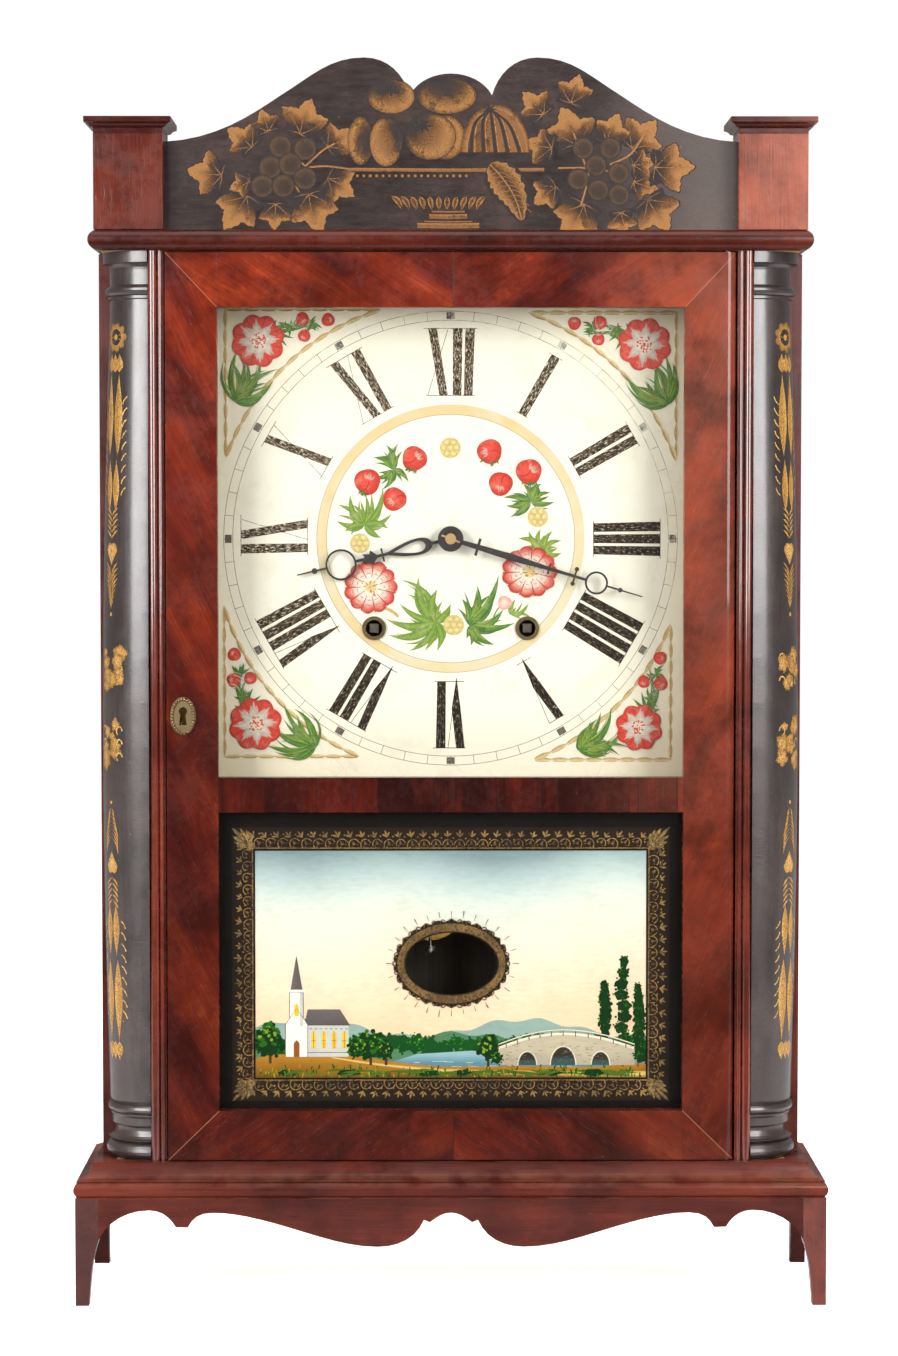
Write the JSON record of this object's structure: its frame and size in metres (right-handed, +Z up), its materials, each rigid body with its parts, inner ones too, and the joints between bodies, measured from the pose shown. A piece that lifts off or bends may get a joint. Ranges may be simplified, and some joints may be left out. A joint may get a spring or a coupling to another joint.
{
  "type": "quarter column shelf clock",
  "caption": "Tall shelf clock: mahogany case, quarter columns, carved-outline splat, glazed door over a painted dial, weight-driven wooden movement with pendulum and bell.",
  "frame": {"origin": "middle of the clock's footprint, on the surface that its feet stand on", "axes": "+Z up, the front faces -Y, +X to the right seen from the front"},
  "size_m": [0.439, 0.12, 0.7236],
  "materials": {
    "mahogany": "french polished veneer, figured",
    "mahogany_side": "polished veneer, worn at the edges",
    "stencilled_black": "black paint with worn bronze stencilling",
    "pine": "aged, unfinished",
    "oak": "oiled",
    "cherry": "oiled",
    "boxwood": "oiled",
    "dial_paint": "painted over gesso, satin",
    "glass": "clear",
    "tablet": "reverse painted",
    "brass": "aged",
    "bell_metal": "dull",
    "blued_steel": "blackened",
    "steel": "dull wire",
    "iron": "cast, rust-brown",
    "cord": "laid flax"
  },
  "bodies": {
    "case": {"backboard": "pine", "case_sides": "mahogany_side", "top_board": "pine", "bottom_board": "pine", "jambs": "mahogany_side", "column_left": "stencilled_black", "column_right": "stencilled_black", "cornice": "mahogany", "chimneys": "mahogany_side", "chimney_caps": "mahogany_side", "splat": "stencilled_black", "base_moulding": "mahogany", "front_apron": "mahogany", "side_aprons": "mahogany", "front_feet": "mahogany", "hinge_pins": "steel", "dial": "dial_paint", "dial_rails": "pine", "winding_bushings": "blued_steel", "back_plate": "oak", "front_plate": "oak", "plate_pillars": "oak", "suspension_cock": "brass", "bell": "bell_metal", "time_cord": "cord", "strike_cord": "cord"},
    "door": {"door_stile_left": "mahogany", "door_stile_right": "mahogany", "door_top_rail": "mahogany", "door_mid_rail": "mahogany", "door_bottom_rail": "mahogany", "dial_glass": "glass", "tablet_glass": "tablet", "glazing_beads": "pine", "escutcheon": "brass", "lock_case": "brass"},
    "lock_bolt": {"lock_bolt": "brass"},
    "minute": {"minute_hand": "blued_steel", "hand_pin": "boxwood", "center_arbor": "boxwood"},
    "hour": {"hour_hand": "blued_steel", "hour_wheel": "cherry"},
    "motion_wheel": {"motion_wheel": "cherry"},
    "second_wheel": {"second_wheel": "cherry"},
    "great_wheel": {"great_wheel": "cherry"},
    "third_wheel": {"third_wheel": "cherry"},
    "escape_wheel": {"escape_wheel": "brass"},
    "pendulum": {"pendulum_rod": "steel", "pendulum_bob": "brass"},
    "verge": {"verge": "steel"},
    "time_drum": {"time_drum": "boxwood"},
    "time_weight": {"time_weight": "iron"},
    "time_pulley": {"time_pulley": "cherry"},
    "strike_drum": {"strike_drum": "boxwood"},
    "strike_weight": {"strike_weight": "iron"},
    "strike_pulley": {"strike_pulley": "cherry"},
    "strike_great_wheel": {"strike_great_wheel": "cherry"},
    "strike_second_wheel": {"strike_second_wheel": "cherry"},
    "fly": {"fly": "steel"},
    "hammer": {"hammer": "steel"}
  },
  "joints": [
    {"name": "door_hinge", "type": "hinge", "parent": "case", "child": "door", "pos_m": [0.1602, -0.041, 0.347], "axis": [0, 0, 1], "range_deg": [0, 95]},
    {"name": "lock_bolt_slide", "type": "slide", "parent": "door", "child": "lock_bolt", "axis": [-1, 0, 0], "range_m": [0, 0.0046]},
    {"name": "minute_spin", "type": "hinge", "parent": "case", "child": "minute", "pos_m": [0, 0, 0.4458], "axis": [0, 1, 0], "continuous": true},
    {"name": "hour_spin", "type": "hinge", "parent": "case", "child": "hour", "pos_m": [0, 0, 0.4458], "axis": [0, 1, 0], "continuous": true},
    {"name": "motion_spin", "type": "hinge", "parent": "case", "child": "motion_wheel", "pos_m": [0.01206, 0, 0.42491], "axis": [0, 1, 0], "continuous": true},
    {"name": "second_spin", "type": "hinge", "parent": "case", "child": "second_wheel", "pos_m": [0.04041, 0, 0.43693], "axis": [0, 1, 0], "continuous": true},
    {"name": "great_spin", "type": "hinge", "parent": "case", "child": "great_wheel", "pos_m": [0.045, 0, 0.3933], "axis": [0, 1, 0], "continuous": true},
    {"name": "third_spin", "type": "hinge", "parent": "case", "child": "third_wheel", "pos_m": [0.01988, 0, 0.48065], "axis": [0, 1, 0], "continuous": true},
    {"name": "escape_spin", "type": "hinge", "parent": "case", "child": "escape_wheel", "pos_m": [-0.01, 0, 0.504], "axis": [0, 1, 0], "continuous": true},
    {"name": "pendulum_swing", "type": "hinge", "parent": "case", "child": "pendulum", "pos_m": [-0.012, 0, 0.53], "axis": [0, 1, 0], "range_deg": [-3, 3]},
    {"name": "verge_rock", "type": "hinge", "parent": "case", "child": "verge", "pos_m": [-0.012, 0, 0.53], "axis": [0, 1, 0], "range_deg": [-3, 3]},
    {"name": "time_winding", "type": "hinge", "parent": "case", "child": "time_drum", "pos_m": [0.045, 0, 0.3933], "axis": [0, -1, 0], "range_deg": [0, 1800.1]},
    {"name": "time_weight_lift", "type": "slide", "parent": "case", "child": "time_weight", "axis": [0, 0, 1], "range_m": [0, 0.355], "deforming": ["time_cord"]},
    {"name": "time_pulley_spin", "type": "hinge", "parent": "case", "child": "time_pulley", "pos_m": [0.115, 0, 0.6221], "axis": [0, -1, 0], "range_deg": [0, 924.6]},
    {"name": "strike_winding", "type": "hinge", "parent": "case", "child": "strike_drum", "pos_m": [-0.045, 0, 0.3933], "axis": [0, 1, 0], "range_deg": [0, 1800.1]},
    {"name": "strike_weight_lift", "type": "slide", "parent": "case", "child": "strike_weight", "axis": [0, 0, 1], "range_m": [0, 0.355], "deforming": ["strike_cord"]},
    {"name": "strike_pulley_spin", "type": "hinge", "parent": "case", "child": "strike_pulley", "pos_m": [-0.115, 0, 0.6221], "axis": [0, 1, 0], "range_deg": [0, 924.6]},
    {"name": "strike_great_spin", "type": "hinge", "parent": "case", "child": "strike_great_wheel", "pos_m": [-0.045, 0, 0.3933], "axis": [0, 1, 0], "continuous": true},
    {"name": "strike_second_spin", "type": "hinge", "parent": "case", "child": "strike_second_wheel", "pos_m": [-0.04041, 0, 0.43693], "axis": [0, 1, 0], "continuous": true},
    {"name": "fly_spin", "type": "hinge", "parent": "case", "child": "fly", "pos_m": [-0.06941, 0, 0.43592], "axis": [0, 1, 0], "continuous": true},
    {"name": "hammer_lift", "type": "hinge", "parent": "case", "child": "hammer", "pos_m": [-0.01, 0, 0.3678], "axis": [0, 1, 0], "range_deg": [0, 12]}
  ],
  "couplings": [
    {"joint": "hour_spin", "follows": "minute_spin", "ratio": 0.083333},
    {"joint": "motion_spin", "follows": "minute_spin", "ratio": -0.33333},
    {"joint": "second_spin", "follows": "minute_spin", "ratio": -0.66667},
    {"joint": "great_spin", "follows": "minute_spin", "ratio": 0.16667},
    {"joint": "third_spin", "follows": "minute_spin", "ratio": -9},
    {"joint": "escape_spin", "follows": "minute_spin", "ratio": 85.5},
    {"joint": "verge_rock", "follows": "pendulum_swing", "ratio": 1},
    {"joint": "time_winding", "follows": "time_weight_lift", "rad_per_m": 88.496},
    {"joint": "time_pulley_spin", "follows": "time_weight_lift", "rad_per_m": 45.455},
    {"joint": "strike_winding", "follows": "strike_weight_lift", "rad_per_m": 88.496},
    {"joint": "strike_pulley_spin", "follows": "strike_weight_lift", "rad_per_m": 45.455},
    {"joint": "strike_second_spin", "follows": "strike_great_spin", "ratio": -4.3333},
    {"joint": "fly_spin", "follows": "strike_great_spin", "ratio": 32.5}
  ]
}
